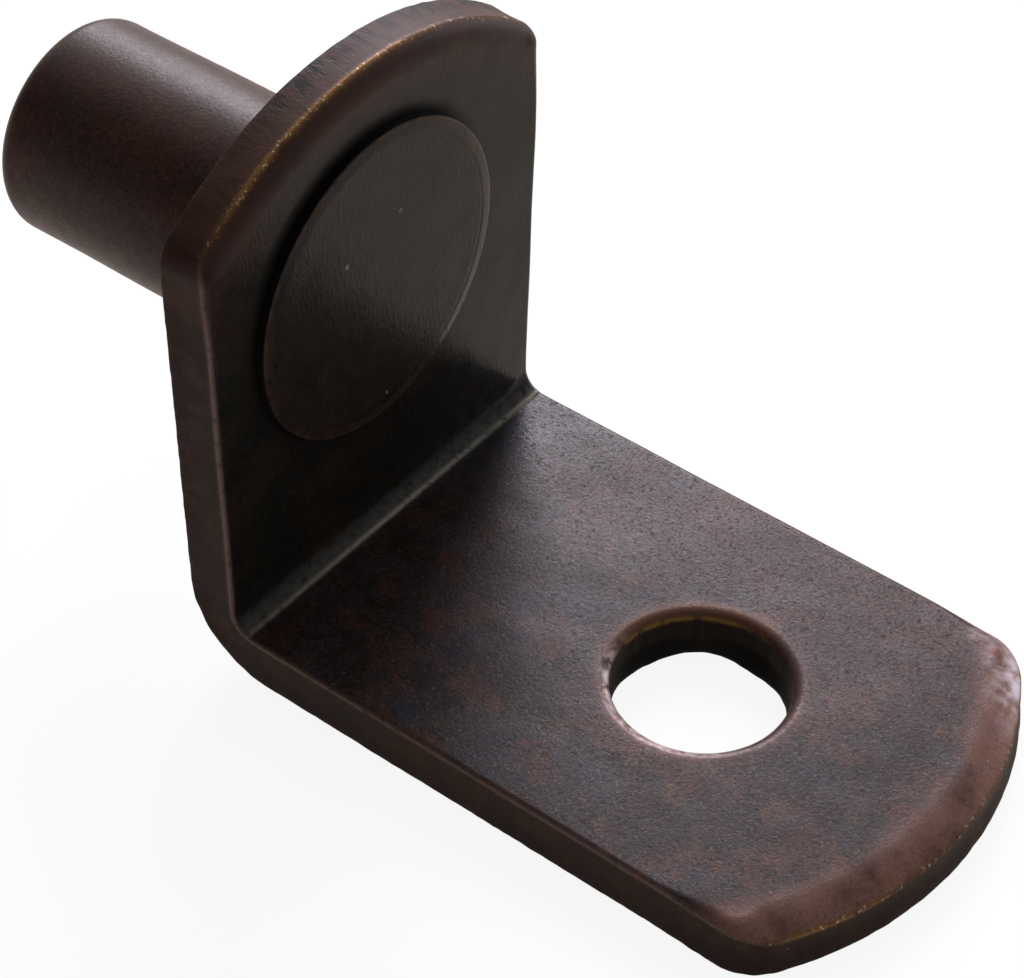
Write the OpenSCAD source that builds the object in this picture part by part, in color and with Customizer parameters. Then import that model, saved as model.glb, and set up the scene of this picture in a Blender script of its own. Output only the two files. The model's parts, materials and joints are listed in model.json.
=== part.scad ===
// Shelf support pin: a stamped steel angle with a headed peg pressed through its upright.
// The origin is where the axis of the peg leaves the back face of the upright.
// The peg points along -X into the cabinet side, the leg reaches along +X under the shelf, and Z is up.

/* [Plate] */
// Thickness of the steel plate
plate_t = 1.52; // [1:0.01:2]
// Width of the plate along the leg and at the fold
plate_w = 13; // [11.5:0.5:17]
// How far the middle of the plate lies to the +Y side of the peg
plate_shift = 0.4; // [-0.6:0.1:0.6]

/* [Upright] */
// Height of the rounded top above the axis of the peg
upright_rise = 6.5; // [6:0.1:12]
// How much further out each side of the upright stands at its top corner than at the fold
upright_spread = 0.2; // [0:0.05:0.5]
// Radius of the rounded top
upright_arc_r = 10.2; // [9:0.1:20]
// Radius of the two corners beside the rounded top
upright_corner_r = 0.9; // [0.3:0.1:2]

/* [Leg] */
// How far the top of the leg, where the shelf sits, lies below the axis of the peg
leg_drop = 8.55; // [7:0.05:16]
// Reach of the leg from the back face of the upright
leg_reach = 20.7; // [18:0.1:32]
// Radius of the rounded tip
tip_arc_r = 10.8; // [9:0.1:20]
// Radius of the two corners beside the rounded tip
tip_corner_r = 1.6; // [0.3:0.1:3]

/* [Fold] */
// Radius inside the fold
fold_inner_r = 0.6; // [0.2:0.1:1.2]
// Radius outside the fold
fold_outer_r = 2.7; // [1:0.1:3]

/* [Screw hole] */
// Diameter of the hole in the leg
screw_hole_d = 4.95; // [3:0.05:6]
// Distance of the hole from the back face of the upright
screw_hole_x = 12.5; // [8:0.1:14]
// Width of the rolled rim around the hole
hole_roll_w = 0.35; // [0.1:0.05:0.6]
// Depth of the rolled rim around the hole
hole_roll_d = 0.2; // [0.05:0.05:0.4]

/* [Rolled ends] */
// Width over which the face rolls down to a rounded end, where the punch pressed on it
end_roll_w = 0.7; // [0.2:0.05:1]
// Depth by which the face rolls down at a rounded end
end_roll_d = 0.4; // [0.1:0.05:0.6]

/* [Peg] */
// Diameter of the peg
peg_d = 6.35; // [4:0.05:7]
// How far the peg stands out of the back face
peg_reach = 9.35; // [5:0.05:20]
// Radius of the rounded edge at the peg's free end
peg_end_r = 0.5; // [0.1:0.05:1]
// Diameter of the peg's swelled seat, which fills the hole in the upright
seat_d = 6.8; // [6.5:0.05:8]
// Diameter of the flat head inside the angle
head_d = 9.35; // [8:0.05:10]
// How far the head stands proud of the upright
head_h = 0.3; // [0.2:0.05:0.8]
// Radius of the head's rim
head_rim_r = 0.05; // [0.05:0.05:0.2]

/* [Hidden] */
$fn = 96;

// A cutter passes this far beyond the face that it cuts.
cut_past = 1;
// A rounded end's roll runs on by this angle, to fade out in the corner radius.
roll_run_on = 4;

leg_top_z = -leg_drop;
leg_bottom_z = leg_top_z - plate_t;
// The fold's block is square and holds both of its radii.
fold_size = max(fold_outer_r, plate_t + fold_inner_r);
upright_foot_z = leg_bottom_z + fold_size;

// Radius of the arc that leaves the face level and comes down by d over a width w
function roll_r(w, d) = (w * w + d * d) / (2 * d);

// Half the width of a rounded end that its corner radii leave to the arc
function arc_half_w(end_half_w, arc_r, corner_r) = (end_half_w - corner_r) * arc_r / (arc_r - corner_r);

// Distance from an end arc's centre to the centres of its corner radii, along the plate
function corner_along(end_half_w, arc_r, corner_r) =
    sqrt(pow(arc_r - corner_r, 2) - pow(end_half_w - corner_r, 2));

// One flat wing of the angle as an outline: it starts at x = start and ends in an arc at x = reach.
module wing_outline(start, reach, end_half_w, arc_r, corner_r) {
    arc_x = reach - arc_r;
    corner_x = arc_x + corner_along(end_half_w, arc_r, corner_r);
    half_w = arc_half_w(end_half_w, arc_r, corner_r);
    translate([start, -end_half_w]) square([corner_x - start, 2 * end_half_w]);
    for (side = [-1, 1])
        translate([corner_x, side * (end_half_w - corner_r)]) circle(corner_r);
    intersection() {
        translate([arc_x, 0]) circle(arc_r);
        translate([start, -half_w]) square([reach - start + cut_past, 2 * half_w]);
    }
}

// The material that the roll takes off a rounded end, with the face at z = 0
module end_roll_cut(reach, end_half_w, arc_r) {
    turn = asin(min(1, end_half_w / (arc_r - end_roll_w))) + roll_run_on;
    r = roll_r(end_roll_w, end_roll_d);
    translate([reach - arc_r, 0, 0])
        rotate([0, 0, -turn])
            rotate_extrude(angle = 2 * turn)
                translate([arc_r - end_roll_w, 0])
                    difference() {
                        translate([0, -end_roll_d]) square([end_roll_w + cut_past, end_roll_d + cut_past]);
                        translate([0, -r]) circle(r);
                    }
}

// One wing as a solid, with its rolled face at z = 0 and its back face at z = -plate_t
module wing(start, reach, end_half_w, arc_r, corner_r) {
    difference() {
        translate([0, 0, -plate_t])
            linear_extrude(plate_t) wing_outline(start, reach, end_half_w, arc_r, corner_r);
        end_roll_cut(reach, end_half_w, arc_r);
    }
}

// The upright lying flat. Its sides run out evenly from the plate's width at the fold
// and meet its top corners' straight part a corner radius below the corner.
module upright_wing() {
    half_w = plate_w / 2 + upright_spread;
    corner_x = upright_rise - upright_arc_r + corner_along(half_w, upright_arc_r, upright_corner_r);
    slope = upright_spread / (corner_x - upright_corner_r - upright_foot_z);
    far_x = upright_rise + cut_past;
    far_half_w = plate_w / 2 + slope * (far_x - upright_foot_z);
    intersection() {
        wing(upright_foot_z, upright_rise, half_w, upright_arc_r, upright_corner_r);
        translate([0, 0, -plate_t - cut_past])
            linear_extrude(plate_t + 2 * cut_past)
                polygon([
                    [upright_foot_z, -plate_w / 2], [far_x, -far_half_w],
                    [far_x, far_half_w], [upright_foot_z, plate_w / 2]
                ]);
    }
}

// The fold seen from the side, with its outer corner at the origin
module fold_outline() {
    inner = plate_t + fold_inner_r;
    difference() {
        square(fold_size);
        translate([inner, plate_t]) square(fold_size);
        translate([plate_t, inner]) square(fold_size);
        translate([inner, inner]) circle(fold_inner_r);
        difference() {
            square(fold_outer_r);
            translate([fold_outer_r, fold_outer_r]) circle(fold_outer_r);
        }
    }
}

// The screw hole and its rolled rim, with the leg's top at z = 0
module screw_hole_cut() {
    hole_r = screw_hole_d / 2;
    r = roll_r(hole_roll_w, hole_roll_d);
    translate([0, 0, -plate_t - cut_past]) cylinder(h = plate_t + 2 * cut_past, r = hole_r);
    rotate_extrude()
        difference() {
            translate([hole_r - cut_past, -hole_roll_d])
                square([cut_past + hole_roll_w, hole_roll_d + cut_past]);
            translate([hole_r + hole_roll_w, -r]) circle(r);
        }
}

// The stamped and folded angle
module bracket() {
    color([0.23, 0.17, 0.15])
        difference() {
            translate([0, plate_shift, 0])
                union() {
                    // the upright: its length runs along Z and its rolled face looks along +X
                    translate([plate_t, 0, 0]) rotate([0, -90, 180]) upright_wing();
                    translate([0, 0, leg_top_z])
                        wing(fold_size, leg_reach, plate_w / 2, tip_arc_r, tip_corner_r);
                    translate([0, plate_w / 2, leg_bottom_z]) rotate([90, 0, 0])
                        linear_extrude(plate_w) fold_outline();
                }
            translate([screw_hole_x, plate_shift, leg_top_z]) screw_hole_cut();
            // the press swells the peg's seat until it fills this hole, so both have one size
            translate([-cut_past, 0, 0]) rotate([0, 90, 0])
                cylinder(h = plate_t + 2 * cut_past, d = seat_d);
        }
}

// Half of the peg's section: the distance from its axis runs along x and its length along y.
// Its seat ends level with the back face at y = 0, and its head bears on the inner face at y = plate_t.
module peg_section() {
    peg_r = peg_d / 2;
    head_r = head_d / 2;
    translate([0, -peg_reach]) square([peg_r - peg_end_r, peg_reach]);
    translate([0, peg_end_r - peg_reach]) square([peg_r, peg_reach - peg_end_r]);
    translate([peg_r - peg_end_r, peg_end_r - peg_reach]) circle(peg_end_r);
    square([seat_d / 2, plate_t]);
    translate([0, plate_t]) square([head_r, head_h - head_rim_r]);
    translate([0, plate_t]) square([head_r - head_rim_r, head_h]);
    translate([head_r - head_rim_r, plate_t + head_h - head_rim_r]) circle(head_rim_r);
}

// The peg, turned about X
module peg() {
    color([0.25, 0.18, 0.16])
        rotate([0, 90, 0]) rotate_extrude() peg_section();
}

bracket();
peg();
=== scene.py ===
# Looks of the shelf support pin: a stamped angle and the peg pressed into it, both bronzed.
import json
import math

import bmesh
import bpy
import numpy as np
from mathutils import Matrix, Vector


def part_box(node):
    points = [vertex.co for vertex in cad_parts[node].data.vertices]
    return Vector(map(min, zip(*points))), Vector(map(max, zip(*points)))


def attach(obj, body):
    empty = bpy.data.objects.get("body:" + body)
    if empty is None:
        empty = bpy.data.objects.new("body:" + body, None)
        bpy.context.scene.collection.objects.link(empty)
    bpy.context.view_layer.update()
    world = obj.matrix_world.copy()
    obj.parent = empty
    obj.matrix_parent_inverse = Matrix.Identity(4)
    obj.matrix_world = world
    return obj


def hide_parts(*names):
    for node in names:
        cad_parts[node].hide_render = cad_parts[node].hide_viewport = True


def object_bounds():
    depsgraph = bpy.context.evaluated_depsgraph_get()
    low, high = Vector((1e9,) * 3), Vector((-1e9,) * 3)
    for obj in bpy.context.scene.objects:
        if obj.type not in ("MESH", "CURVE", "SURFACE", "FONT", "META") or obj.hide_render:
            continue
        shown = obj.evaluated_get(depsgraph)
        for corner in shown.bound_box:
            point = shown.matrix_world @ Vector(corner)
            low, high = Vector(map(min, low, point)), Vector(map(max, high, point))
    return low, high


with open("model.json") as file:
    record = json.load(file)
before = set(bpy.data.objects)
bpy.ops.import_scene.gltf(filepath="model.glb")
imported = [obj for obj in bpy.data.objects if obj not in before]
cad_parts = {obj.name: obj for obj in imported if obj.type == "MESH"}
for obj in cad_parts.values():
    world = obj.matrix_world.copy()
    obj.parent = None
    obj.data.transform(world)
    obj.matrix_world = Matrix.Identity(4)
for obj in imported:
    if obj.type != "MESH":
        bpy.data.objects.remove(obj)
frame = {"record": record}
cadBox = [list(corner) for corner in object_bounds()]
print("frame loaded")

metresPerMm = 0.001
mmPerMetre = 1000
mounts = {m["name"]: m for m in frame["record"]["mounts"]}
plateLow, plateHigh = (np.array(corner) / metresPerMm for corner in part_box("bracket"))
pegLow, pegHigh = (np.array(corner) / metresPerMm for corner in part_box("peg"))
legTop = mounts["shelf_seat"]["pos_m"][2] / metresPerMm

# All sizes are in mm. The flat sheet is measured along (down from the peg's axis, round the fold and
# out along the leg), across (from the plate's middle) and in depth (from the rolled face to the back).
plate = {
    "middle": (plateHigh[1] + plateLow[1]) / 2,
    "thick": legTop - plateLow[2],
    "foldInner": 0.6,
    "foldOuter": 2.7,
    "foldLength": 3.2,  # of the fold's stretch on the flat sheet
    "foldLine": 2.06,  # how far into that stretch a fine raised line runs
    "spreadAt": -2.6,  # the upright's sides run outwards from the fold up to here
}
foldTop = plateLow[2] + plate["foldOuter"]

# Each rounded end: half its width, how far it reaches from the peg's axis or from the upright's
# back, and the radii of its arc and its corners
topEnd = {"half": (plateHigh[1] - plateLow[1]) / 2, "reach": plateHigh[2], "arc": 10.2, "corner": 0.9}
tipEnd = {"half": 6.5, "reach": plateHigh[0], "arc": 10.8, "corner": 1.6}

rim = {
    "rollWidth": 0.7,
    "tipWidth": 0.35,  # how much wider the roll is at the leg's tip
    "tipWidthRun": (13.0, 17.0),  # it widens between these places along the leg
    "rollDepth": 0.4,
    "sideWidth": 0.16,  # the straight sides are hardly rolled
    "sideDepth": 0.08,
    "fade": 0.3,  # share of the roll that is left where a corner meets its side
    "fadeLength": 2.2,
    "breakAt": 0.62,  # share of the thickness where the clean cut ends and the torn part starts
    "breakBlend": 0.15,
    "flare": 0.05,  # how far the torn part leans out at the back, and how much further at the tip
    "tipFlare": 0.06,
    "tipFlareRun": (15.0, 18.5),
    "flareInside": 0.3,  # how far in from the edge the faces move along with the wall
    "cornerSteps": 14,
    "levelSteps": 4,
    "rollSteps": 22,
    "wallSteps": 18,
    "backShares": (0.05, 0.12, 0.3, 0.6, 1.0),  # steps back in along the other face
}

# Fine relief of the sheet. Two values are how deep a kind goes and the wavelength of its waves.
sheetRelief = {
    "broad": (0.005, 5.0), "short": (0.0016, 1.3), "back": (0.004, 4.0), "backLimit": 1.6,
    "lineHeight": 0.012, "lineWidth": 0.07, "lineWander": (0.02, 1.5), "lineUneven": (0.5, 0.5),
    "cutDepth": 0.004, "streaks": (0.002, 0.3),
    "streakStretch": 0.12,  # a streak's waves are this much slower down the wall
    "torn": (0.005, 0.5),
    "wallStart": (-0.02, 0.08),  # from the ridge, where the relief sets in
}

seatHole = {
    "along": 0.0,
    "across": -plate["middle"],
    "radius": 3.4,
    "half": 3.58,  # half the side of the square patch around the hole
    "rollWidth": 0.05,
    "rollDepth": 0.03,
    "burr": 0.0,
}
screwHole = {
    "along": mounts["screw_hole"]["pos_m"][0] / metresPerMm,
    "across": mounts["screw_hole"]["pos_m"][1] / metresPerMm - plate["middle"],
    "radius": mounts["screw_hole"]["dims"]["r_mm"],
    "half": 3.9,
    "rollWidth": 0.34,
    "rollDepth": 0.17,
    "burr": 0.09,  # how far the torn part of its wall hangs inwards
}
holeCells = 44  # cells along one side of a square patch
holeRings = {
    "patch": 6,  # rings from the square to the circle, then level, down the roll, wall and back
    "level": 4, "roll": 13, "wall": 15, "back": 4,
    "circle": 0.8,  # how far outside the hole the first round ring may lie
    "backStart": 0.06, "burrUneven": (0.35, 1.1),
}

# Cells of the face grid: beside a hole patch, then from the top arc down to the leg's tip
faceCells = {
    "beside": 9, "top": 10, "upright": 18, "foldIn": 28, "line": 18, "foldOut": 8, "leg": 24,
    "tip": 12,
    "lineHalf": 0.25,  # half the finely divided stretch around the fold's line
    "sink": 0.8,  # how far the row above the seat hole sinks beside it
}

waveCount = 24
waveSpread = (0.7, 1.4)  # wavelengths beside the one asked for


def ripple(places, wave, seed):
    # a smooth random relief of unit height: sine waves of about one wavelength, added up, each
    # with its own direction and phase. Each use has a seed of its own.
    chance = np.random.default_rng(seed)
    directions = chance.normal(size=(waveCount, places.shape[-1]))
    directions /= np.linalg.norm(directions, axis=1, keepdims=True)
    rates = 2 * np.pi / (wave * chance.uniform(*waveSpread, waveCount))
    phases = chance.uniform(0, 2 * np.pi, waveCount)
    return np.sin((places @ directions.T) * rates + phases).sum(-1) / math.sqrt(waveCount / 2)


def relief(depthAndWave, places, seed):
    # a ripple of a given depth and wavelength
    depth, wave = depthAndWave
    return depth * ripple(places, wave, seed)


def hollows(depthAndWave, limit, places, seed):
    # a ripple that only goes inwards: it is cut off at a limit both ways and moved in by that
    depth, wave = depthAndWave
    return depth * (limit + np.clip(ripple(places, wave, seed), -limit, limit))


def smoothStep(low, high, value):
    # 0 below low, 1 above high and an S curve between; it falls where low is above high
    share = np.clip((value - low) / (high - low), 0, 1)
    return share * share * (3 - 2 * share)


def bell(distance, width):
    # 1 at no distance, falling off as a bell curve
    return np.exp(-((distance / width) ** 2))


def stepFrom(place, lowAndHigh, value):
    # an S curve between two values that are given from a place
    low, high = lowAndHigh
    return smoothStep(place + low, place + high, value)


def hump(middleAndWidth, value):
    # a bell curve about a middle value
    middle, width = middleAndWidth
    return bell(value - middle, width)


def legAlong(x):
    # how far along the flat sheet a place on the leg lies
    return x - plate["foldOuter"] + plate["foldLength"] - foldTop


def legStep(run, along):
    # 0 before the first of two places on the leg and 1 beyond the second
    return smoothStep(legAlong(run[0]), legAlong(run[1]), along)


def bendSheet(along, across, depth):
    # A point of the flat sheet goes where the folded sheet has it. Each face is a curve over
    # 'along': straight down the upright, a quarter circle and straight out along the leg. Depth
    # runs between the two.
    thick, inner, outer = plate["thick"], plate["foldInner"], plate["foldOuter"]
    share = np.clip((along + foldTop) / plate["foldLength"], 0, 1)
    before = np.minimum(along + foldTop, 0)
    beyond = np.maximum(along + foldTop - plate["foldLength"], 0)
    lead = outer - inner - thick
    run = share * (2 * lead + inner * np.pi / 2)
    turn = np.clip((run - lead) / inner, 0, np.pi / 2)
    frontX = thick + inner * (1 - np.cos(turn)) + np.maximum(run - lead - inner * np.pi / 2, 0)
    frontZ = foldTop - np.minimum(run, lead) - inner * np.sin(turn)
    backX = outer * (1 - np.cos(share * np.pi / 2))
    backZ = foldTop - outer * np.sin(share * np.pi / 2)
    part = depth / thick
    x = frontX + (backX - frontX) * part + beyond
    z = frontZ + (backZ - frontZ) * part - before
    return np.stack([x, across + plate["middle"], z], -1)


def placeOnSheet(along, across, depth):
    # Both faces wave by a few thousandths of a mm, and a fine raised line runs along the fold.
    flat = np.stack([along, across], -1)
    of = sheetRelief
    front = relief(of["broad"], flat, 11) + relief(of["short"], flat, 12)
    sideways = relief(of["lineWander"], across[..., None], 15)
    line = bell(along - (plate["foldLine"] - foldTop + sideways), of["lineWidth"])
    front = front - of["lineHeight"] * line * (1 + relief(of["lineUneven"], flat, 13))
    back = -hollows(of["back"], of["backLimit"], flat, 14)
    part = depth / plate["thick"]
    return bendSheet(along, across, depth + front * (1 - part) + back * part)


def rollDown(distance, width, drop):
    # an arc that leaves the face level at 'width' from the edge and has come down by 'drop' at the edge
    radius = (width**2 + drop**2) / (2 * drop)
    reach = np.clip(width - distance, 0, width)
    return radius - np.sqrt(radius**2 - reach**2)


def cutRelief(along, across, depth, drop):
    # How far a stamped wall stands back: fine upright streaks in the clean cut, and below
    # it a rough torn part. Gives that and the torn share.
    thick, of = plate["thick"], sheetRelief
    torn = smoothStep(rim["breakAt"] * thick - rim["breakBlend"], thick, depth)
    slow = np.stack([along, across, depth * of["streakStretch"]], -1)
    streaks = relief(of["streaks"], slow, 21)
    rough = torn * relief(of["torn"], np.stack([along, across, depth], -1), 22)
    onWall = stepFrom(drop, of["wallStart"], depth)
    return (of["cutDepth"] + streaks + rough) * onWall, torn * onWall


def halfWidth(along):
    # half the plate's width: it grows evenly from the fold up the upright
    share = np.clip((-foldTop - along) / (-foldTop - plate["spreadAt"]), 0, 1)
    return tipEnd["half"] + (topEnd["half"] - tipEnd["half"]) * share


def endArc(end, across):
    # along and across of the arc that runs a corner radius inside a rounded end, and its outward turn
    radius = end["arc"] - end["corner"]
    turn = np.arcsin(across / radius)
    return end["reach"] - end["arc"] + radius * np.cos(turn), turn


def spread(stops, counts):
    # values that run through the stops, with that many equal steps between each two
    parts = [np.linspace(a, b, n + 1)[:-1] for a, b, n in zip(stops, stops[1:], counts)]
    return np.concatenate(parts + [[stops[-1]]])


def faceGrid():
    # Rows and columns of the flat sheet inside its rim. Each block of rows is a straight blend of two
    # lines of points, and the columns draw in to frame the hole patches. Beside the seat hole the
    # second line sinks, clear of the corners.
    cells, beside = faceCells, faceCells["beside"]
    sides = [beside, holeCells, beside]
    upright = topEnd["half"] - topEnd["corner"]
    leg = tipEnd["half"] - tipEnd["corner"]
    seat, screw = seatHole["half"], screwHole["half"]
    high = spread([-upright, seatHole["across"] - seat, seatHole["across"] + seat, upright], sides)
    low = spread([-leg, -screw, screw, leg], sides)
    outside = np.maximum(np.abs(high - seatHole["across"]) - seat, 0)
    screwMiddle = legAlong(screwHole["along"])
    line = plate["foldLine"] - foldTop
    stops = [
        (-endArc(topEnd, high)[0], high, cells["top"]),
        (-seat + cells["sink"] * outside, high, holeCells),
        (seat, high, cells["upright"]),
        (-foldTop, low, cells["foldIn"]),
        (line - cells["lineHalf"], low, cells["line"]),
        (line + cells["lineHalf"], low, cells["foldOut"]),
        (plate["foldLength"] - foldTop, low, cells["leg"]),
        (screwMiddle - screw, low, holeCells),
        (screwMiddle + screw, low, cells["tip"]),
        (legAlong(endArc(tipEnd, low)[0]), low, 0),
    ]
    along, across, starts = [], [], []
    for (a, columnsA, count), (b, columnsB, _) in zip(stops, stops[1:]):
        share = np.linspace(0, 1, count + 1)[:-1, None]
        starts.append(sum(len(block) for block in along))
        along.append(a + (b - a) * share + 0 * columnsA)
        across.append(columnsA + (columnsB - columnsA) * share)
    along.append(stops[-1][0][None])
    across.append(low[None])
    keep = np.ones((sum(len(block) for block in along) - 1, len(low) - 1), bool)
    seatStart, screwStart = starts[1], starts[7]
    for start in (seatStart, screwStart):
        keep[start : start + holeCells, beside : beside + holeCells] = False
    return np.concatenate(along), np.concatenate(across), keep


def rimStations(along, across):
    # One station for each point of the sheet's inner outline, in order round the sheet: the point,
    # the way outwards from it, how far the edge is, and how much of the roll the edge has there.
    def end(row, shape, sign):
        turn = endArc(shape, across[row])[1]
        count = len(turn)
        way = np.stack([sign * np.cos(turn), np.sin(turn)], -1)
        return along[row], across[row], way, np.full(count, shape["corner"]), np.ones(count)

    def side(column, sign):
        line = along[:, column]
        way = np.stack([np.zeros(len(line)), np.full(len(line), sign)], -1)
        gap = halfWidth(line) - np.abs(across[:, column])
        left = np.minimum(line - line[0], line[-1] - line)
        return line, across[:, column], way, gap, rim["fade"] * smoothStep(rim["fadeLength"], 0, left)

    def corner(row, column, shape, sign):
        # a fan about the corner radius's own centre
        edge = across[row, column]
        start = endArc(shape, abs(edge))[1]
        turn = np.linspace(start, np.pi / 2, rim["cornerSteps"] + 1)
        way = np.stack([sign * np.cos(turn), math.copysign(1, edge) * np.sin(turn)], -1)
        rolled = 1 - (1 - rim["fade"]) * smoothStep(start, np.pi / 2, turn)
        same = np.ones(len(turn))
        return along[row, column] * same, edge * same, way, shape["corner"] * same, rolled

    def turned(station):
        return tuple(part[::-1] for part in station)

    stretches = [
        end(0, topEnd, -1),
        corner(0, -1, topEnd, -1),
        side(-1, 1),
        turned(corner(-1, -1, tipEnd, 1)),
        turned(end(-1, tipEnd, 1)),
        corner(-1, 0, tipEnd, 1),
        turned(side(0, -1)),
        turned(corner(0, 0, topEnd, -1)),
    ]
    return [np.concatenate(column) for column in zip(*stretches)]


def softened(values, times):
    # rounds a profile's kinks a little: each inner point moves halfway to its neighbours' mean
    for _ in range(times):
        values = values.copy()
        values[:, 1:-1] = (values[:, :-2] + 2 * values[:, 1:-1] + values[:, 2:]) / 4
    return values


def rimStrip(along, across):
    # A profile carried round the outline: level, rolled down to the ridge, down the cut wall
    # and back in along the other face.
    anchorAlong, anchorAcross, way, gap, rolled = rimStations(along, across)
    gap, rolled = gap[:, None], rolled[:, None]
    thick = plate["thick"]
    wider = rim["tipWidth"] * legStep(rim["tipWidthRun"], anchorAlong[:, None])
    width = rim["sideWidth"] + (rim["rollWidth"] - rim["sideWidth"] + wider) * rolled
    drop = rim["sideDepth"] + (rim["rollDepth"] - rim["sideDepth"]) * rolled
    level = np.linspace(1, 0, rim["levelSteps"] + 1)[None, :-1]
    down = np.linspace(1, 0, rim["rollSteps"])[None]
    front = np.concatenate([width + (gap - width) * level, width * down], 1)
    share = (1 - np.cos(np.pi * np.linspace(0, 1, rim["wallSteps"])[None, 1:])) / 2
    wallDepth = drop + (thick - drop) * share
    back = gap * np.array([rim["backShares"]])
    distance = np.concatenate([front, 0 * wallDepth, back], 1)
    depth = np.concatenate([rollDown(front, width, drop), wallDepth, thick + 0 * back], 1)
    wall = np.concatenate([0 * front, 1 + 0 * wallDepth, 0 * back], 1)
    edgeAlong = anchorAlong[:, None] + way[:, :1] * gap
    edgeAcross = anchorAcross[:, None] + way[:, 1:] * gap
    setBack, torn = cutRelief(edgeAlong + 0 * depth, edgeAcross + 0 * depth, depth, drop)
    flare = rim["flare"] + rim["tipFlare"] * legStep(rim["tipFlareRun"], edgeAlong)
    inset = setBack - flare * torn
    nearEdge = np.clip(1 - distance / np.minimum(gap, rim["flareInside"]), 0, 1)
    moved = softened(distance + inset * nearEdge, 2)
    depth = softened(depth, 2)
    steps = np.hypot(np.diff(edgeAlong[:, 0]), np.diff(edgeAcross[:, 0]))
    marks = {
        "edge": np.concatenate([front, 0 * wallDepth, np.full_like(back, 2.0)], 1),
        "rolled": rolled + 0 * depth,
        "wall": softened(wall, 1),
        "around": np.concatenate([[0], np.cumsum(steps)])[:, None] + 0 * depth,
    }
    outwards = gap - moved
    along = anchorAlong[:, None] + way[:, :1] * outwards
    return along, anchorAcross[:, None] + way[:, 1:] * outwards, depth, marks


def holePatch(hole, middle):
    # Rings from the square patch's edge in to the hole's rolled rim, down its wall and out again.
    count, steps = 4 * holeCells, holeRings
    thick, half, radius = plate["thick"], hole["half"], hole["radius"]
    line = np.linspace(-half, half, holeCells + 1)[:-1]
    full = np.full(holeCells, half)
    square = np.stack([[line, full, -line, -full], [-full, line, full, -line]], -1).reshape(-1, 2)
    turn = np.arctan2(square[0, 1], square[0, 0]) + np.arange(count) * 2 * np.pi / count
    circle = np.stack([np.cos(turn), np.sin(turn)], -1)
    outer = radius + min(steps["circle"], (half - radius) / 2)
    width, drop = hole["rollWidth"], hole["rollDepth"]
    rings, depths, walls = [], [], []

    def addRing(points, depth, wall):
        rings.append(points)
        depths.append(depth)
        walls.append(wall)

    for share in np.linspace(0, 1, steps["patch"] + 1)[:-1]:
        addRing(square * (1 - share) + circle * outer * share, 0.0, 0.0)
    for distance in spread([outer - radius, width, 0], [steps["level"], steps["roll"]]):
        addRing(circle * (radius + distance), float(rollDown(distance, width, drop)), 0.0)
    for depth in np.linspace(drop, thick, steps["wall"] + 1)[1:]:
        edge = circle * radius
        setBack, torn = cutRelief(edge[:, 0], edge[:, 1], np.full(count, depth), drop)
        hang = hole["burr"] * torn * (1 + relief(steps["burrUneven"], circle, 23))
        addRing(circle * (radius + setBack - hang)[:, None], depth, 1.0)
    for distance in np.linspace(steps["backStart"], outer - radius, steps["back"]):
        addRing(circle * (radius + distance), thick, 0.0)
    for share in np.linspace(1, 0, steps["patch"] + 1)[1:]:
        addRing(square * (1 - share) + circle * outer * share, thick, 0.0)
    points = np.stack(rings, 1)
    points = np.concatenate([points, points[:1]])
    same = np.ones(points.shape[:2])
    marks = {
        "edge": 2.0 * same,
        "rolled": 0 * same,
        "wall": np.array(walls) * same,
        "around": np.arange(count + 1)[:, None] * 2 * np.pi * radius / count * same,
    }
    return middle + points[..., 0], hole["across"] + points[..., 1], np.array(depths) * same, marks


# Where each kind of finish, painted shade and painted highlight lies. Two values of a step are where
# it starts and where it is full, and two of a hump are its middle and its width, from the place that
# its line in wearMarks says.
wear = {
    "topSide": (-2.0, -3.2), "tipSide": (16.5, 17.6), "onFront": (0.9, 0.6), "onBack": (1.0, 1.4),
    "ridge": (0, 0.11), "ridgeDepth": (0, 0.085), "rollFull": 0.05,
    "rollBeyond": 0.25,  # how far past the roll its finish reaches
    "tipBand": (1.7, 0.1), "tipBandRun": (14.0, 16.5), "topWornNear": (-6.5, -4.6),
    "topWornFar": (3.6, 0.6), "tipWornLeast": 0.18, "tipWornFar": (-2.2, -3.6),
    "tipWornNear": (-6.1, -5.2), "farWay": (-0.72, 0.69), "far": (0.35, 0.95),
    "nearWay": (0.3, 0.95), "near": (-0.1, -0.8), "upLeftWay": (-0.6, -0.8), "upLeft": (-0.85, 0.3),
    "onLeg": (-0.22, 0.48), "stainedLeast": 0.35, "stained": (0.5, 5.5), "tipFar": (3.2, 5.4),
    "wallBack": (0.75, 1.1), "wallBackAcross": (-4.0, -1.0), "wallCorner": (-1.1, 0.75),
    "sideRidge": (0, 0.08), "farSide": (1.2, 4.2), "farSideRun": (2.5, 7.0), "rubbed": (4.2, 0.6),
    "rubbedAcross": (0.0, 4.5), "fold": (-0.27, 0.45), "foldLine": (0, 0.11), "foldLineLeast": 0.45,
    "foldLineAcross": (0, 4.0), "holeWall": (0.02, -0.005), "holeWallDepth": (0.12, 0.24),
    "holeRim": (0.25, 0.3), "holeNear": (0.1, 0.14), "holeWorn": (0, 0.07),
    "holeWornDepth": (screwHole["rollDepth"], 0.07), "holeHalo": (0.1, 0.35),
    "headShade": (0.5, 0.0), "headHalo": (0, 0.5), "topBand": (2.2, 0.4),
    "topBandRun": (-0.5, -3.5),
}


def fromHole(hole, middle, along, across):
    # a place as seen from a hole's middle, and how far away it is
    apart = np.stack([along - middle, across - hole["across"]], -1)
    return apart, np.hypot(apart[..., 0], apart[..., 1])


def facing(way, apart, reach):
    # how squarely a place lies in a direction from a hole's middle: 1 in it and -1 opposite
    return (apart @ np.array(way)) / np.maximum(reach, 0.1)


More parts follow.
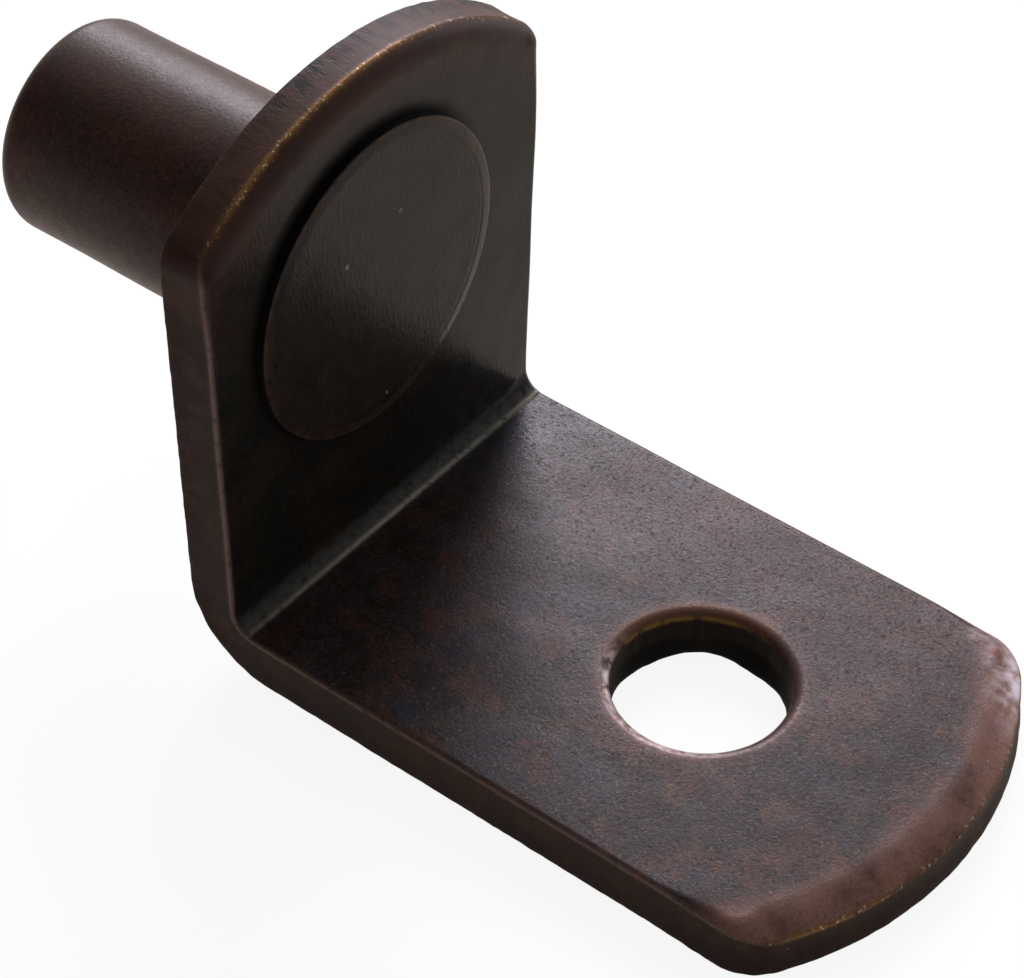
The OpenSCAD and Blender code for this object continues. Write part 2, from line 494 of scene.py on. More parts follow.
def fromArc(end, middle, along, across):
    # how far inside a rounded end's arc a place lies
    return end["arc"] - np.hypot(along - middle, across)


def wearMarks(along, across, depth, edge, rolled, wall, around):
    # Where each kind of finish, painted shade and painted highlight shows, from 0 to 1, from the place
    # on the flat sheet: products of steps and humps. Wear is strongest on the ridges that are rubbed.
    def step(name, value):
        return smoothStep(*wear[name], value)

    def peak(name, value):
        return hump(wear[name], value)

    topSide = step("topSide", along)
    tipSide = legStep(wear["tipSide"], along)
    onFront = step("onFront", depth)
    drop = rim["sideDepth"] + (rim["rollDepth"] - rim["sideDepth"]) * rolled
    ridge = peak("ridge", edge) * peak("ridgeDepth", depth - drop)
    rollEnd = rim["rollWidth"] + wear["rollBeyond"] + rim["tipWidth"] * tipSide
    roll = rolled * smoothStep(rollEnd, wear["rollFull"], edge) * (1 - wall)
    fromTip = fromArc(tipEnd, legAlong(tipEnd["reach"] - tipEnd["arc"]), along, across)
    fromTop = fromArc(topEnd, topEnd["arc"] - topEnd["reach"], along, across)
    tipBand = step("tipBand", fromTip) * legStep(wear["tipBandRun"], along)
    topWorn = topSide * step("topWornNear", across) * step("topWornFar", across)
    least = wear["tipWornLeast"]
    worn = (1 - least) * step("tipWornFar", across) * step("tipWornNear", across)
    tipWorn = tipSide * (least + worn)

    apart, reach = fromHole(screwHole, legAlong(screwHole["along"]), along, across)
    holeGap = reach - screwHole["radius"]
    holeFar = step("far", facing(wear["farWay"], apart, reach))
    holeNear = step("near", facing(wear["nearWay"], apart, reach))
    apart, reach = fromHole(seatHole, seatHole["along"], along, across)
    headGap = reach - pegHigh[2]
    upLeft = step("upLeft", facing(wear["upLeftWay"], apart, reach))

    onLeg = stepFrom(plate["foldLine"] - foldTop, wear["onLeg"], along)
    pastLine = along - plate["foldLine"] + foldTop
    least = wear["stainedLeast"]
    stained = least + (1 - least) * step("stained", pastLine)
    farSide = step("farSide", across) * step("farSideRun", pastLine)
    rubbed = step("rubbed", np.abs(pastLine)) * step("rubbedAcross", across)
    least = wear["foldLineLeast"]
    bright = least + (1 - least) * peak("foldLineAcross", across)
    wallBack = wall * step("wallBack", depth) * topSide
    holeWall = step("holeWall", holeGap) * step("holeWallDepth", depth)
    holeWorn = peak("holeWorn", holeGap) * peak("holeWornDepth", depth)
    topBand = step("topBand", fromTop) * step("topBandRun", along)
    sideRidge = peak("sideRidge", edge) * peak("sideRidge", depth - drop)
    return {
        "leg": np.maximum(onLeg, step("onBack", depth)),
        "stained": onLeg * stained,
        "farSide": onLeg * farSide,
        "rubbed": rubbed * onFront,
        "rollTop": roll * topSide,
        "rollTip": tipBand * (1 - wall) * onFront,
        "tipFar": roll * tipSide * step("tipFar", across),
        "topBand": topBand * onFront,
        "wall": wall,
        "wallTop": wall * topSide,
        "wallBack": wallBack * step("wallBackAcross", across),
        "wallCorner": peak("wallCorner", along - plate["spreadAt"]) * wall,
        "ridge": ridge * rolled,
        "ridgeWorn": ridge * np.maximum(topWorn, tipWorn),
        "sideRidge": sideRidge * (1 - rolled),
        "fold": peak("fold", pastLine) * onFront,
        "foldLine": peak("foldLine", pastLine) * onFront * bright,
        "holeWall": holeWall,
        "holeRim": peak("holeRim", holeGap) * onFront,
        "holeNear": peak("holeNear", holeGap) * holeNear * onFront,
        "holeWorn": holeWorn * holeFar,
        "holeHalo": peak("holeHalo", holeGap) * holeFar * onFront,
        "headShade": step("headShade", headGap) * upLeft * onFront,
        "headHalo": peak("headHalo", headGap) * onFront,
        "around": around,
        "depth": depth,
    }


def gridQuads(rows, columns, first, keep):
    # the four corners of every cell of a grid whose points are numbered row by row
    number = first + np.arange(rows * columns).reshape(rows, columns)
    quads = np.stack([number[:-1, :-1], number[:-1, 1:], number[1:, 1:], number[1:, :-1]], -1)
    return quads.reshape(-1, 4) if keep is None else quads[keep]


def makePiece(name, patches):
    # Joins the patches into one closed mesh: points that meet become one, and faces turn outwards.
    points, quads, marks = [], [], {}
    first = 0
    for place, patchMarks, keep in patches:
        rows, columns = place.shape[:2]
        points.append(place.reshape(-1, 3))
        quads.append(gridQuads(rows, columns, first, keep))
        for key, values in patchMarks.items():
            marks.setdefault(key, []).append(values.reshape(-1))
        first += rows * columns
    mesh = bpy.data.meshes.new(name)
    mesh.from_pydata(np.concatenate(points) * metresPerMm, [], np.concatenate(quads).tolist())
    for key, values in marks.items():
        layer = mesh.attributes.new(key, "FLOAT", "POINT")
        layer.data.foreach_set("value", np.concatenate(values).astype(np.float32))
    work = bmesh.new()
    work.from_mesh(mesh)
    bmesh.ops.remove_doubles(work, verts=work.verts, dist=0.0004 * metresPerMm)
    loose = [vertex for vertex in work.verts if not vertex.link_faces]
    bmesh.ops.delete(work, geom=loose, context="VERTS")
    bmesh.ops.recalc_face_normals(work, faces=work.faces)
    gaps = sum(1 for edge in work.edges if not edge.is_manifold)
    triangles = sum(len(face.verts) - 2 for face in work.faces)
    volume = work.calc_volume(signed=True) / metresPerMm**3
    print(f"{name}: {triangles} triangles, {gaps} open edges, {volume:.1f} mm3")
    work.to_mesh(mesh)
    work.free()
    mesh.shade_smooth()
    piece = bpy.data.objects.new(name, mesh)
    bpy.context.scene.collection.objects.link(piece)
    return piece


def makeAngle():
    # two faces, the rim between them and a patch round each hole, on the folded sheet
    along, across, keep = faceGrid()
    same = np.ones_like(along)
    plain = {"edge": 2.0 * same, "rolled": 0 * same, "wall": 0 * same, "around": 0 * same}
    patches = []
    for a, c, depth, marks, kept in [
        (along, across, 0 * same, plain, keep),
        (along, across, plate["thick"] * same, plain, keep),
        (*rimStrip(along, across), None),
        (*holePatch(seatHole, seatHole["along"]), None),
        (*holePatch(screwHole, legAlong(screwHole["along"])), None),
    ]:
        patches.append((placeOnSheet(a, c, depth), wearMarks(a, c, depth, **marks), kept))
    return makePiece("stamped_angle", patches)


angle = makeAngle()
print("angle made")

pegShape = {
    "radius": mounts["peg"]["dims"]["r_mm"], "reach": -pegLow[0], "endRadius": 0.5,
    "seatRadius": 3.4, "headRadius": pegHigh[2], "headTop": pegHigh[0],
    "ringWidth": 0.38,  # the head's edge falls off over this width
    "ringDrop": 0.05,
    "grooveDepth": 0.006,  # of the line where the falling edge starts, on the side where it shows
    "edgeRadius": 0.04, "turns": 256, "bendSteps": 12, "endSteps": 14, "shankSteps": 60,
    "seatSteps": 3, "wallSteps": 4, "ringSteps": 12, "rimSteps": 9, "faceSteps": 34,
    "apart": 0.02,  # a curve's last point and the next stretch's first one lie this far apart
    "fine": 0.01,  # the same beside the head's small edge
    "underPlate": 0.001,  # the shank's last row stops this far short of the plate
    "wallStart": 0.05,  # each wall's first row lies this far up it
    "rimEnd": 0.2,  # past the ring, where the closer rows of the face end
    "faceStart": 0.3,
}

# The peg's dents, as depth and wavelength, and where its finishes, painted shade and painted
# highlight lie, as steps and humps
pegWear = {
    "shank": (-0.3, -1.0), "freeEnd": (0, 0.8), "dentDepth": 0.006, "broad": (0.003, 2.6),
    "rings": (0.0012, 1.2),
    "ringStretch": (3, 1, 1),  # its waves are this much quicker along the peg
    "onHead": (0.1, 0.2),  # this and the next from the plate's face
    "pastPlate": (-0.01, 0.02),
    "head": (-0.01, -0.04),  # these four from the head's edge
    "headWall": (-0.03, -0.01), "face": (-0.45, -1.4), "brown": (-1.4, -0.2),
    "faceDents": (0.004, 2.2), "faceLimit": 1.5, "downRightWay": (0.8, -0.6),
    "downRight": (-0.5, 0.7), "groove": (-0.05, 0.05), "grooveDark": (-0.04, 0.06),
    "ring": (-0.03, 0.05), "edge": (-0.05, 0.06), "endAlong": (0, 0.5), "endAcross": (0, 0.4),
}


def pegProfile():
    # Distance from the axis and place along it, from the middle of the free end to the middle of
    # the head: flat end, rounded edge, shank, seat in the plate, underside, wall and face of the head.
    of = pegShape
    thick, radius, end, reach = plate["thick"], of["radius"], of["endRadius"], of["reach"]
    head, top, edge, ring = of["headRadius"], of["headTop"], of["edgeRadius"], of["ringWidth"]
    apart, fine, up, under = of["apart"], of["fine"], of["wallStart"], -of["underPlate"]
    bend = np.linspace(0, np.pi / 2, of["bendSteps"])
    wallTop = top - of["ringDrop"] - edge
    inward = np.linspace(edge + fine, ring, of["ringSteps"])
    nearRing = np.linspace(ring + apart, ring + of["rimEnd"], of["rimSteps"])
    flat = np.concatenate([nearRing, np.linspace(ring + of["faceStart"], head, of["faceSteps"])])

    def straight(low, high, count):
        return np.linspace(low, high, of[count])

    def level(value, count):
        return np.full(of[count], value)

    stretches = [
        (straight(0, radius - end - apart, "endSteps"), level(-reach, "endSteps")),
        (radius - end + end * np.sin(bend), -reach + end * (1 - np.cos(bend))),
        (level(radius, "shankSteps"), straight(-reach + end + apart, under, "shankSteps")),
        (np.array([of["seatRadius"]]), np.array([0.0])),
        (level(of["seatRadius"], "seatSteps"), straight(up, thick, "seatSteps")),
        (np.array([head - apart, head]), np.array([thick, thick + apart])),
        (level(head, "wallSteps"), straight(thick + up, wallTop - fine, "wallSteps")),
        (head - edge * (1 - np.cos(bend)), wallTop + edge * np.sin(bend)),
        (head - inward, top - of["ringDrop"] * (1 - (inward / ring)) ** 1.3),
        (head - flat, np.full(len(flat), top)),
    ]
    return [np.concatenate(column) for column in zip(*stretches)]


def makePeg():
    # the profile turned about the axis, with shallow dents in the shank and in the head's face and
    # a groove where the falling edge starts
    of = pegWear
    away, place = pegProfile()
    turn = np.linspace(0, 2 * np.pi, pegShape["turns"] + 1)[:, None]
    x = place[None] + 0 * turn
    y = away[None] * np.cos(turn)
    z = away[None] * np.sin(turn)
    spot = np.stack([x, y, z], -1)
    thick, head, reach = plate["thick"], pegShape["headRadius"], pegShape["reach"]
    ring = head - pegShape["ringWidth"]
    apart = away[None] + 0 * turn
    onShank = smoothStep(*of["shank"], x) * stepFrom(-reach, of["freeEnd"], x)
    dent = of["dentDepth"] + relief(of["broad"], spot, 31)
    dent = dent + relief(of["rings"], spot * of["ringStretch"], 32)
    shrink = 1 - np.maximum(dent, 0) * onShank / pegShape["radius"]
    onHead = stepFrom(thick, of["onHead"], x)
    inside = stepFrom(head, of["face"], apart)
    dents = hollows(of["faceDents"], of["faceLimit"], spot, 33)
    sideY, sideZ = of["downRightWay"]
    downRight = smoothStep(*of["downRight"], (sideY * y + sideZ * z) / np.maximum(apart, 0.1))
    groove = pegShape["grooveDepth"] * hump(of["groove"], apart - ring) * downRight
    sink = onHead * (inside * dents + groove)
    spot = np.stack([x - sink, y * shrink, z * shrink], -1)
    marks = {
        "head": onHead * stepFrom(head, of["head"], apart),
        "headWall": stepFrom(thick, of["pastPlate"], x) * stepFrom(head, of["headWall"], apart),
        "headRing": onHead * stepFrom(ring, of["ring"], apart) * downRight,
        "headGroove": onHead * hump(of["grooveDark"], apart - ring) * downRight,
        "headBrown": onHead * stepFrom(head, of["brown"], apart),
        "headEdge": onHead * hump(of["edge"], apart - head),
        "shankEnd": hump(of["endAlong"], x + reach) * hump(of["endAcross"], apart - pegShape["radius"]),
    }
    return makePiece("pressed_peg", [(spot, marks, None)])


peg = makePeg()
print("peg made")


def linear(code):
    # an sRGB hex colour as linear light
    parts = [int(code[i : i + 2], 16) / 255 for i in (1, 3, 5)]
    return [c / 12.92 if c <= 0.04045 else ((c + 0.055) / 1.055) ** 2.4 for c in parts] + [1.0]


def addNode(tree, kind, inputs, **settings):
    # adds one node: settings are its own, and each input is a value or another node's output
    node = tree.nodes.new(kind)
    for name, value in settings.items():
        setattr(node, name, value)
    for name, value in inputs.items():
        socket = next(s for s in node.inputs if name in (s.identifier, s.name))
        if isinstance(value, bpy.types.NodeSocket):
            tree.links.new(value, socket)
        else:
            socket.default_value = value
    return node


def fromNode(node, name):
    # one of a node's outputs, by name or identifier
    return next(s for s in node.outputs if name in (s.identifier, s.name))


def maths(tree, operation, a, b):
    # one step of arithmetic on two numbers
    node = addNode(tree, "ShaderNodeMath", {"Value": a, "Value_001": b}, operation=operation)
    return node.outputs["Value"]


def blended(tree, kind, share, a, b):
    # a where share is 0 and b where it is 1, for a FLOAT or an RGBA
    end = {"FLOAT": "_Float", "RGBA": "_Color"}[kind]
    inputs = {"Factor_Float": share, "A" + end: a, "B" + end: b}
    return fromNode(addNode(tree, "ShaderNodeMix", inputs, data_type=kind), "Result" + end)


def layerShare(tree, spaces, layer):
    # How much of a layer shows: a noise of its size in mm, passed between two levels,
    # times the places where the mesh says that kind of finish lies.
    share = layer.get("amount", 1.0)
    if "size" in layer:
        stretch = [part * mmPerMetre / layer["size"] for part in layer.get("stretch", (1, 1, 1))]
        place = {
            "Vector": spaces[layer.get("space", "object")],
            "Scale": stretch,
            "Location": layer.get("offset", (0, 0, 0)),
        }
        spot = addNode(tree, "ShaderNodeMapping", place)
        grain = {
            "Vector": spot.outputs["Vector"],
            "Scale": 1.0,
            "Detail": layer.get("detail", 3.0),
            "Roughness": 0.6,
        }
        noise = addNode(tree, "ShaderNodeTexNoise", grain)
        low, high = layer["levels"]
        levels = {"Value": noise.outputs["Fac"], "From Min": low, "From Max": high}
        passed = addNode(tree, "ShaderNodeMapRange", levels, interpolation_type="SMOOTHSTEP")
        share = maths(tree, "MULTIPLY", passed.outputs["Result"], share)
    if "mask" in layer:
        mask = addNode(tree, "ShaderNodeAttribute", {}, attribute_name=layer["mask"]).outputs["Fac"]
        if layer.get("outside"):
            mask = maths(tree, "SUBTRACT", 1.0, mask)
        share = maths(tree, "MULTIPLY", mask, share)
    return share


def layered(name, base, layers):
    # A dark metal under thin lacquer: each layer in turn lays its colour, roughness and metal over
    # those below it and adds its height (mm) to theirs.
    material = bpy.data.materials.new(name)
    material.use_nodes = True
    tree = material.node_tree
    tree.nodes.clear()
    around = addNode(tree, "ShaderNodeAttribute", {}, attribute_name="around").outputs["Fac"]
    depth = addNode(tree, "ShaderNodeAttribute", {}, attribute_name="depth").outputs["Fac"]
    cut = addNode(tree, "ShaderNodeCombineXYZ", {"X": around, "Y": depth})
    scaled = {"Vector": cut.outputs["Vector"], "Scale": metresPerMm}
    inMetres = addNode(tree, "ShaderNodeVectorMath", scaled, operation="SCALE")
    spaces = {
        "object": addNode(tree, "ShaderNodeTexCoord", {}).outputs["Object"],
        "cut": inMetres.outputs["Vector"],  # round the plate's edge and down its wall
    }
    colour, roughness, metal, height = linear(base["colour"]), base["roughness"], 0.0, 0.0
    for layer in layers:
        share = layerShare(tree, spaces, layer)
        if "colour" in layer:
            colour = blended(tree, "RGBA", share, colour, linear(layer["colour"]))
        if "roughness" in layer:
            roughness = blended(tree, "FLOAT", share, roughness, layer["roughness"])
        if "metal" in layer:
            metal = blended(tree, "FLOAT", share, metal, layer["metal"])
        if "height" in layer:
            height = maths(tree, "ADD", height, maths(tree, "MULTIPLY", share, layer["height"]))
    bump = addNode(tree, "ShaderNodeBump", {"Height": height, "Strength": 1.0, "Distance": metresPerMm})
    inputs = {
        "Base Color": colour,
        "Metallic": metal,
        "Roughness": roughness,
        "Specular IOR Level": base["gloss"],
        "Normal": bump.outputs["Normal"],
    }
    shader = addNode(tree, "ShaderNodeBsdfPrincipled", inputs)
    addNode(tree, "ShaderNodeOutputMaterial", {"Surface": shader.outputs["BSDF"]})
    return material


# Antique bronze plating on stamped steel, under lacquer: a nearly black brown with blue and rust
# stains, worn to a coppery brown where it is rolled and to brass on its ridges. Some layers are
# painted shade, painted highlights and painted reflections, each said where it stands.
plateLook = {"colour": "#261b19", "roughness": 0.23, "gloss": 0.1}
plateLayers = [
    # Painted shade: the upright's front, the top arc and the fold's start get a darker colour than the
    # same plating on the leg, as the upright's front stands in shade
    dict(mask="leg", outside=True, colour="#13120e", roughness=0.22),
    dict(mask="stained", size=2.4, levels=(0.46, 0.58), amount=0.75, colour="#2a303c"),
    dict(mask="stained", size=1.7, offset=(2, 3, 5), levels=(0.49, 0.6), amount=0.65, colour="#5a382c"),
    dict(
        mask="stained", size=0.8, offset=(5, 1, 2), levels=(0.54, 0.66), amount=0.45,
        colour="#4c3e2a",
    ),
    # Painted reflection: a bluish tint where the lamp's glare lies on the leg near the fold's far end;
    # the surface is also smoother there
    dict(mask="rubbed", amount=0.8, colour="#28323e", roughness=0.15),
    dict(mask="farSide", size=1.5, levels=(0.25, 0.6), amount=0.7, colour="#482a22", roughness=0.36),
    dict(mask="leg", size=0.6, levels=(0.42, 0.62), amount=0.5, colour="#352624", roughness=0.31),
    dict(mask="leg", size=0.35, offset=(4, 1, 8), levels=(0.48, 0.62), amount=0.45, colour="#2b2a30"),
    dict(
        mask="leg", size=0.1, detail=6.0, levels=(0.38, 0.64), amount=0.75, colour="#151110",
        roughness=0.37, height=0.002,
    ),
    dict(
        mask="leg", size=0.1, detail=5.0, offset=(1, 6, 3), levels=(0.58, 0.65), amount=0.7,
        roughness=0.14,
    ),
    dict(mask="leg", size=0.06, detail=5.0, levels=(0.3, 0.7), height=0.0015),
    dict(
        mask="leg", size=0.1, detail=5.0, offset=(9, 2, 5), levels=(0.55, 0.63), amount=0.8,
        colour="#0c0909", roughness=0.6,
    ),
    dict(
        mask="rollTip", size=1.6, levels=(0.15, 0.55), amount=0.6, colour="#8c685c", roughness=0.36,
        metal=0.4,
    ),
    dict(
        mask="rollTip", size=0.1, detail=5.0, offset=(3, 7, 2), levels=(0.54, 0.64), amount=0.5,
        colour="#33241f",
    ),
    dict(mask="stained", size=0.11, detail=5.0, levels=(0.58, 0.7), amount=0.45, colour="#745846"),
    dict(
        mask="stained", size=0.1, detail=5.0, offset=(7, 3, 1), levels=(0.58, 0.7), amount=0.35,
        colour="#5c5e68",
    ),
    dict(mask="leg", outside=True, size=1.9, levels=(0.46, 0.62), amount=0.65, colour="#2c1e18"),
    dict(
        mask="leg", outside=True, size=0.5, levels=(0.4, 0.62), amount=0.7, colour="#161613",
        roughness=0.3,
    ),
    dict(
        mask="leg", outside=True, size=0.1, stretch=(1, 1, 0.4), levels=(0.35, 0.65), amount=0.6,
        colour="#1e1d19", height=0.003,
    ),
    dict(mask="topBand", size=1.1, levels=(0.3, 0.6), amount=0.75, colour="#33201b", roughness=0.26),
    # Painted shade: a soft dark ring on the plate round the peg's head
    dict(mask="headHalo", amount=0.5, colour="#0b0a09", roughness=0.4),
    dict(mask="headShade", colour="#060505", roughness=0.75),
    dict(mask="rollTop", amount=0.55, colour="#3e2b25", roughness=0.56),
    # Painted highlight: a pale, partly metallic streak on the roll at the leg tip's far corner
    dict(
        mask="tipFar", size=0.5, levels=(0.3, 0.65), amount=0.6, colour="#c8c4cc", roughness=0.34,
        metal=0.6,
    ),
    dict(mask="holeRim", amount=0.35, colour="#5a4440", roughness=0.34, metal=0.3),
    # Painted highlight: a pale, partly metallic line on the near side of the screw hole's rim
    dict(
        mask="holeNear", size=0.3, levels=(0.3, 0.6), amount=0.55, colour="#d4c4c0", roughness=0.34,
        metal=0.6,
    ),
    dict(mask="holeHalo", amount=0.5, colour="#5e3f24"),
    # Painted reflection: a grey band along the inside of the fold
    dict(mask="fold", size=0.3, levels=(0.2, 0.6), amount=0.6, colour="#4c4b48", roughness=0.45),
    # Painted highlight: a pale line along the fold's fine raised line, which also gets a little bump
    # height
    dict(mask="foldLine", size=0.2, levels=(0.25, 0.5), colour="#8c8678", roughness=0.35, height=0.004),
    dict(mask="wall", amount=0.9, colour="#261611", roughness=0.66),
    dict(mask="wall", size=0.9, levels=(0.42, 0.62), amount=0.6, colour="#3a261f"),
    dict(mask="wall", size=0.12, levels=(0.4, 0.62), amount=0.5, colour="#15100e", height=0.003),
    dict(mask="wallTop", amount=0.6, colour="#422c22", roughness=0.5),
    dict(
        mask="wall", space="cut", size=0.3, stretch=(1, 0.3, 1), levels=(0.5, 0.62), amount=0.35,
        colour="#14100e", height=-0.003,
    ),
    dict(
        mask="wallBack", space="cut", size=0.42, stretch=(1, 0.35, 1), levels=(0.47, 0.56),
        colour="#121216", height=-0.006,
    ),
    dict(mask="wallCorner", amount=0.7, colour="#24110e"),
    dict(mask="ridge", amount=0.4, colour="#5a3a24"),
    dict(
        mask="ridgeWorn", size=0.5, levels=(0.3, 0.5), amount=0.75, colour="#7c5a30", roughness=0.4,
        metal=0.3,
    ),
    dict(
        mask="ridgeWorn", size=0.12, levels=(0.6, 0.67), amount=0.8, colour="#cabf9c",
        roughness=0.3, height=0.004,
    ),
    dict(mask="ridge", size=0.13, levels=(0.6, 0.66), amount=0.7, colour="#a8987c", roughness=0.3),
    dict(mask="sideRidge", size=0.35, levels=(0.2, 0.5), amount=0.8, colour="#6a544c", roughness=0.4),
    # Painted shade: the screw hole's wall is near black and rough
    dict(mask="holeWall", colour="#090807", roughness=0.8),
    dict(
        mask="holeWorn", size=0.4, levels=(0.35, 0.55), amount=0.7, colour="#96763a",
        roughness=0.35, metal=0.4,
    ),
    dict(size=0.5, levels=(0.74, 0.78), amount=0.9, colour="#6e6a64", roughness=0.45),
]

# The same plating on the turned peg, and greyer on its head, where it is rubbed smooth. The head's
# side wall and groove carry painted shade and its lit edge a painted highlight.
pegLook = {"colour": "#382825", "roughness": 0.37, "gloss": 0.095}
pegLayers = [
    dict(size=2.2, levels=(0.42, 0.6), amount=0.7, colour="#43291f"),
    dict(size=1.3, offset=(2, 5, 1), levels=(0.5, 0.64), amount=0.5, colour="#2a2527"),
    dict(size=0.4, levels=(0.42, 0.62), amount=0.5, colour="#2a201c", roughness=0.44),
    dict(size=0.1, levels=(0.35, 0.65), amount=0.6, colour="#1f1614", roughness=0.42, height=0.004),
    dict(size=0.16, levels=(0.58, 0.7), amount=0.25, colour="#644434"),
    dict(mask="shankEnd", amount=0.4, colour="#443830"),
    dict(mask="head", colour="#1a1914", roughness=0.21),
    dict(mask="head", size=1.2, levels=(0.47, 0.62), amount=0.6, colour="#32241c"),
    dict(mask="head", size=0.5, levels=(0.4, 0.62), amount=0.7, colour="#181814", roughness=0.28),
    dict(
        mask="head", size=0.12, stretch=(1, 1, 0.4), levels=(0.38, 0.64), amount=0.6,
        colour="#1f1e1a", height=0.003,
    ),
    dict(mask="head", size=0.2, levels=(0.62, 0.68), colour="#0a0a09", height=-0.005),
    dict(
        mask="headBrown", size=0.9, levels=(0.35, 0.62), amount=0.45, colour="#2c1e19",
        roughness=0.26,
    ),
    # Painted highlight: a lighter band on the head's falling edge, on its lower right side only
    dict(mask="headRing", size=0.8, levels=(0.3, 0.6), amount=0.4, colour="#3a2a22", roughness=0.3),
    # Painted shade: a dark line in the groove on the head's lower right side
    dict(mask="headGroove", size=0.5, levels=(0.35, 0.6), amount=0.7, colour="#0e0c0a"),
    dict(mask="headEdge", size=0.3, levels=(0.4, 0.6), amount=0.3, colour="#5a4030"),
    # Painted shade: the head's side wall is near black and rough
    dict(mask="headWall", colour="#050404", roughness=0.8),
    dict(size=0.5, levels=(0.74, 0.78), amount=0.9, colour="#76726c", roughness=0.45),
]

angle.data.materials.append(layered("antiqueBronzePlate", plateLook, plateLayers))
peg.data.materials.append(layered("antiqueBronzePeg", pegLook, pegLayers))

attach(angle, "root")
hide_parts("bracket")
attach(peg, "root")
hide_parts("peg")
print("materials made")

floor = {"size": 3.0, "shadow": 0.1, "colour": "#ffffff", "inGloss": "#fff2e4"}


def makeFloor():
    # A wide white floor at the leg's underside. Seen directly it is mostly plain white and in a gloss
    # a warmer one, and the rest of it takes the object's shadow.
    half, level = floor["size"] / 2, cadBox[0][2]
    mesh = bpy.data.meshes.new("studio_floor")
    corners = [(-half, -half, level), (half, -half, level), (half, half, level), (-half, half, level)]
    mesh.from_pydata(corners, [], [(0, 1, 2, 3)])
    material = bpy.data.materials.new("whitePaper")
    material.use_nodes = True
    tree = material.node_tree
    tree.nodes.clear()
    rays = addNode(tree, "ShaderNodeLightPath", {}).outputs
    seen = maths(tree, "MAXIMUM", rays["Is Camera Ray"], rays["Is Glossy Ray"])
    seen = maths(tree, "MAXIMUM", seen, rays["Is Transmission Ray"])
    part = maths(tree, "MULTIPLY", seen, 1 - floor["shadow"])
    white, warm = linear(floor["colour"]), linear(floor["inGloss"])
    tone = blended(tree, "RGBA", rays["Is Glossy Ray"], white, warm)
    paper = addNode(tree, "ShaderNodeBsdfDiffuse", {"Color": white})
    plain = addNode(tree, "ShaderNodeEmission", {"Color": tone, "Strength": 1.0})
    shaders = {"Fac": part, "Shader": paper.outputs["BSDF"], "Shader_001": plain.outputs["Emission"]}
    mixed = addNode(tree, "ShaderNodeMixShader", shaders)
    addNode(tree, "ShaderNodeOutputMaterial", {"Surface": mixed.outputs["Shader"]})
    mesh.materials.append(material)
    piece = bpy.data.objects.new("studio_floor", mesh)
    bpy.context.scene.collection.objects.link(piece)


def direction(azimuth, elevation):
    # the unit vector towards an azimuth, in degrees anticlockwise from +X, and a height in degrees
    turn, rise = math.radians(azimuth), math.radians(elevation)
    return [math.cos(rise) * math.cos(turn), math.cos(rise) * math.sin(turn), math.sin(rise)]


room = {
    "bright": 0.3,
    "dark": 0.08,
    "darkAzimuth": 225,
    "darkElevation": 35,
    "inside": 0.85,  # cosines of the angles from the dark side's middle to its full shade
    "outside": 0.45,  # and to its end
}


def makeWorld():
    # a pale room with one soft dark side
    world = bpy.data.worlds.new("studio")
    bpy.context.scene.world = world
    world.use_nodes = True
    tree = world.node_tree
    tree.nodes.clear()
    way = addNode(tree, "ShaderNodeTexCoord", {}).outputs["Generated"]
    dark = direction(room["darkAzimuth"], room["darkElevation"])
    both = {"Vector": way, "Vector_001": dark}
    near = addNode(tree, "ShaderNodeVectorMath", both, operation="DOT_PRODUCT")
    fall = {
        "Value": near.outputs["Value"],
        "From Min": room["outside"],
        "From Max": room["inside"],
        "To Min": room["bright"],
        "To Max": room["dark"],
    }
    level = addNode(tree, "ShaderNodeMapRange", fall, interpolation_type="SMOOTHSTEP")
    light = {"Color": linear("#ffffff"), "Strength": level.outputs["Result"]}
    sky = addNode(tree, "ShaderNodeBackground", light)
    addNode(tree, "ShaderNodeOutputWorld", {"Surface": sky.outputs["Background"]})


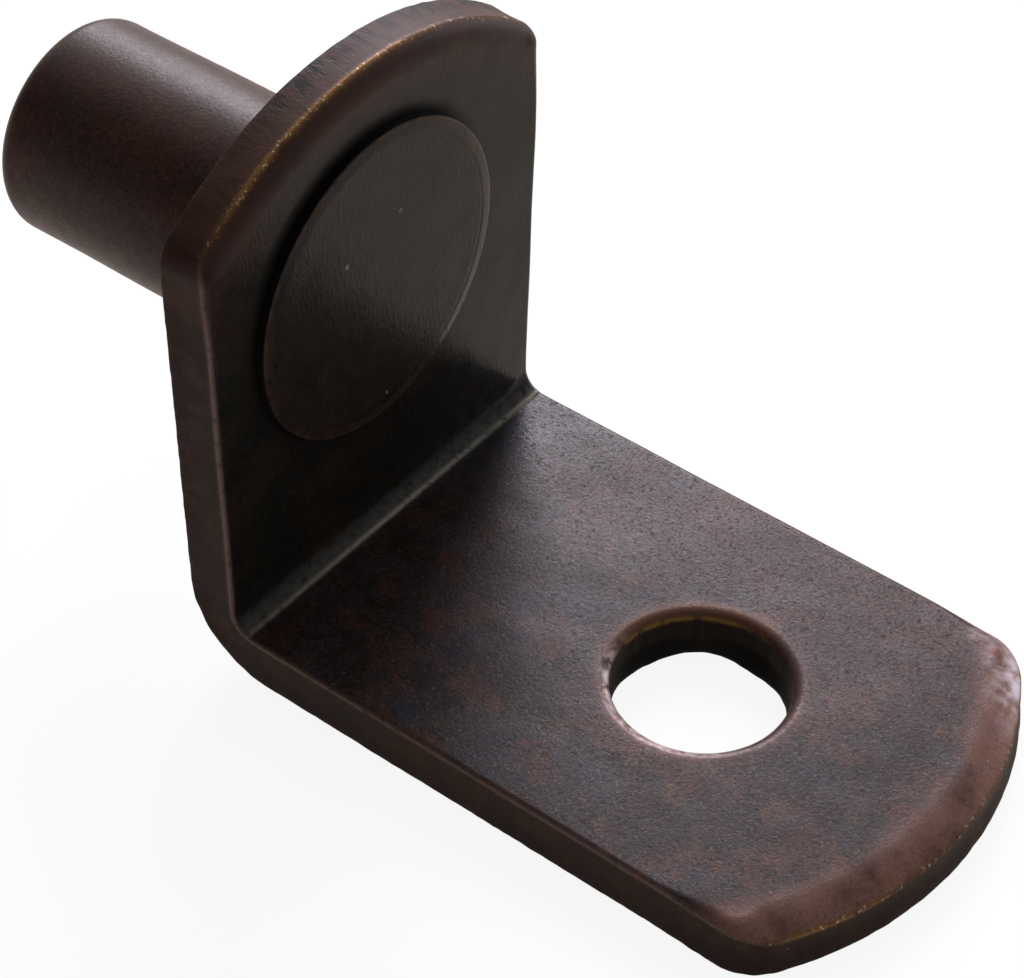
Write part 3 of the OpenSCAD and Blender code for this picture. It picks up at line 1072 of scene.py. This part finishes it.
# Soft panels: azimuth and elevation in degrees, distance and size in metres, and radiance beside 1
# for white paper in the pale room
lamps = {
    "key": {
        "azimuth": 123, "elevation": 30.5, "distance": 0.5, "size": 0.25, "radiance": 23,
        "colour": "#f4ecf6",
    },
    "halo": {
        "azimuth": 135, "elevation": 42, "distance": 0.5, "size": 0.7, "radiance": 1.6,
        "colour": "#ffeee8",
    },
    "side": {
        "azimuth": 78, "elevation": 12, "distance": 0.5, "size": 0.3, "radiance": 2.8,
        "colour": "#f4f4ff",
    },
}


def makeLamps():
    # Each is a disc that faces the origin. Its power is its radiance times pi times its area.
    for name, lamp in lamps.items():
        data = bpy.data.lights.new(name, "AREA")
        data.shape = "DISK"
        data.size = lamp["size"]
        data.color = linear(lamp["colour"])[:3]
        data.energy = lamp["radiance"] * math.pi**2 * lamp["size"] ** 2 / 4
        piece = bpy.data.objects.new(name, data)
        away = np.array(direction(lamp["azimuth"], lamp["elevation"]))
        piece.location = away * lamp["distance"]
        turn, rise = math.radians(lamp["azimuth"]), math.radians(lamp["elevation"])
        piece.rotation_euler = (math.pi / 2 - rise, 0, turn + math.pi / 2)
        bpy.context.scene.collection.objects.link(piece)


camera = {
    "lens": 109.65,  # this and the sensor in mm
    "sensor": 36,
    "shift": (0.0816, 0.0758),  # of the picture's middle, in picture widths
    "nearest": 0.001,  # in metres
    "place": (43.052, -48.377, 52.887),  # in mm
    "turn": (45.005, 0.177, 39.189),  # in degrees about X, Y and Z
}


def makeCamera():
    # one camera, placed so that the outline falls where it should
    data = bpy.data.cameras.new("camera")
    data.lens = camera["lens"]
    data.sensor_width = camera["sensor"]
    data.shift_x, data.shift_y = camera["shift"]
    data.clip_start = camera["nearest"]
    piece = bpy.data.objects.new("camera", data)
    piece.location = np.array(camera["place"]) * metresPerMm
    piece.rotation_euler = [math.radians(angle) for angle in camera["turn"]]
    bpy.context.scene.collection.objects.link(piece)
    bpy.context.scene.camera = piece


makeFloor()
makeWorld()
makeLamps()
makeCamera()
bpy.context.scene.view_settings.view_transform = "Standard"
print("studio made")
